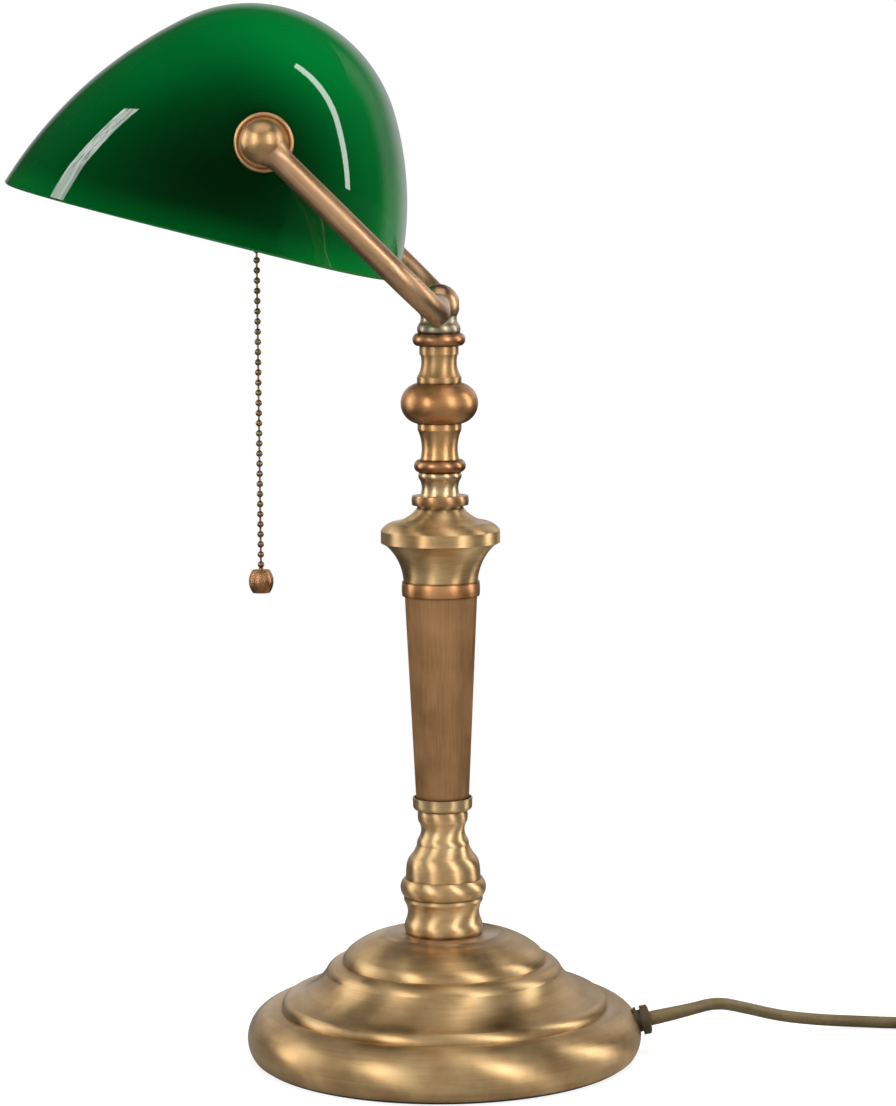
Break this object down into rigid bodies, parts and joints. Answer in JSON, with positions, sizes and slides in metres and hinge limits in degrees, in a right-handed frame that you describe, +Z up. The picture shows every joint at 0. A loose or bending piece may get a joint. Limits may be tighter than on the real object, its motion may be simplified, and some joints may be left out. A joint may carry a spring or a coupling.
{
  "type": "table lamp",
  "caption": "Table lamp with a stepped round brass base, turned stem, tilting U-shaped yoke, tilting green glass shade, bead pull chain and mains cord.",
  "frame": {"origin": "centre of the base's felt underside, on the table", "axes": "+Z up along the stem; the yoke and shade lean out towards -X; the shade's long axis and both tilt axes are along Y; the cord leaves the base towards +X"},
  "size_m": [0.4573, 0.2772, 0.4303],
  "materials": {
    "felt": "felt",
    "plate_steel": "satin",
    "weight_iron": "rough cast",
    "spun_brass": "brushed antique",
    "column_brass": "lengthwise brushed antique",
    "copper_brass": "antique",
    "neck_brass": "antique",
    "yoke_brass": "antique",
    "steel": "plain",
    "pin_metal": "bright",
    "holder_brass": "polished",
    "insert": "matt",
    "bulb": "opal",
    "bulb_cap": "plain",
    "shade_green": "glossy cased",
    "bush": "plain",
    "gasket": "matt",
    "chain_brass": "dark antique",
    "knob_brass": "antique",
    "cord": "satin",
    "gland": "satin",
    "tie": "matt",
    "plug": "satin"
  },
  "bodies": {
    "base": {"felt_pad": "felt", "base_plate": "plate_steel", "base_weight": "weight_iron", "base_shell": "spun_brass", "rod_washer": "steel", "rod_nut": "steel", "stem_rod": "steel", "stem_lead": "cord", "cord_gland": "gland", "gland_nut": "steel", "stem_foot": "spun_brass", "stem_vase": "spun_brass", "column_cup": "copper_brass", "column": "column_brass", "collar_ring": "copper_brass", "capital": "spun_brass", "lower_neck": "spun_brass", "lower_ring": "copper_brass", "middle_neck": "neck_brass", "stem_ball": "copper_brass", "upper_neck": "neck_brass", "upper_ring": "copper_brass", "knuckle": "neck_brass", "knuckle_screw": "steel", "power_cord": "cord", "cord_coil": "cord", "cord_tie": "tie", "cord_tail": "cord", "plug_body": "plug", "plug_pins": "pin_metal"},
    "yoke": {"arm_near": "yoke_brass", "arm_far": "yoke_brass", "arm_sleeve": "steel", "arm_lead": "cord", "end_ball_near": "yoke_brass", "end_ball_far": "yoke_brass", "rosette_near": "yoke_brass", "rosette_far": "yoke_brass", "pivot_nipple_near": "steel", "pivot_nipple_far": "steel", "pivot_washers": "steel", "pivot_nuts": "steel", "holder_cap": "holder_brass", "holder_shell": "holder_brass", "holder_insert": "insert", "switch_block": "insert", "chain_guide": "holder_brass", "bulb_glass": "bulb", "bulb_base": "bulb_cap"},
    "shade": {"shade_glass": "shade_green", "shade_bush_near": "bush", "shade_bush_far": "bush", "shade_gasket_near": "gasket", "shade_gasket_far": "gasket"},
    "plunger": {"switch_plunger": "holder_brass"},
    "chain": {"pull_chain": "chain_brass", "pull_knob": "knob_brass"}
  },
  "joints": [
    {"name": "arm_tilt", "type": "hinge", "parent": "base", "child": "yoke", "pos_m": [0, 0, 0.3101], "axis": [0, 1, 0], "range_deg": [-25, 20]},
    {"name": "shade_tilt", "type": "hinge", "parent": "yoke", "child": "shade", "pos_m": [-0.06364, 0, 0.37374], "axis": [0, 1, 0], "range_deg": [-30, 20]},
    {"name": "chain_pull", "type": "slide", "parent": "yoke", "child": "plunger", "axis": [0, 0, -1], "range_m": [0, 0.006], "stiffness_N_per_m": 400, "springref_m": -0.002},
    {"name": "chain_hang", "type": "hinge", "parent": "plunger", "child": "chain", "pos_m": [-0.07814, 0.078, 0.34424], "axis": [0, 1, 0], "range_deg": [-35, 45]}
  ]
}
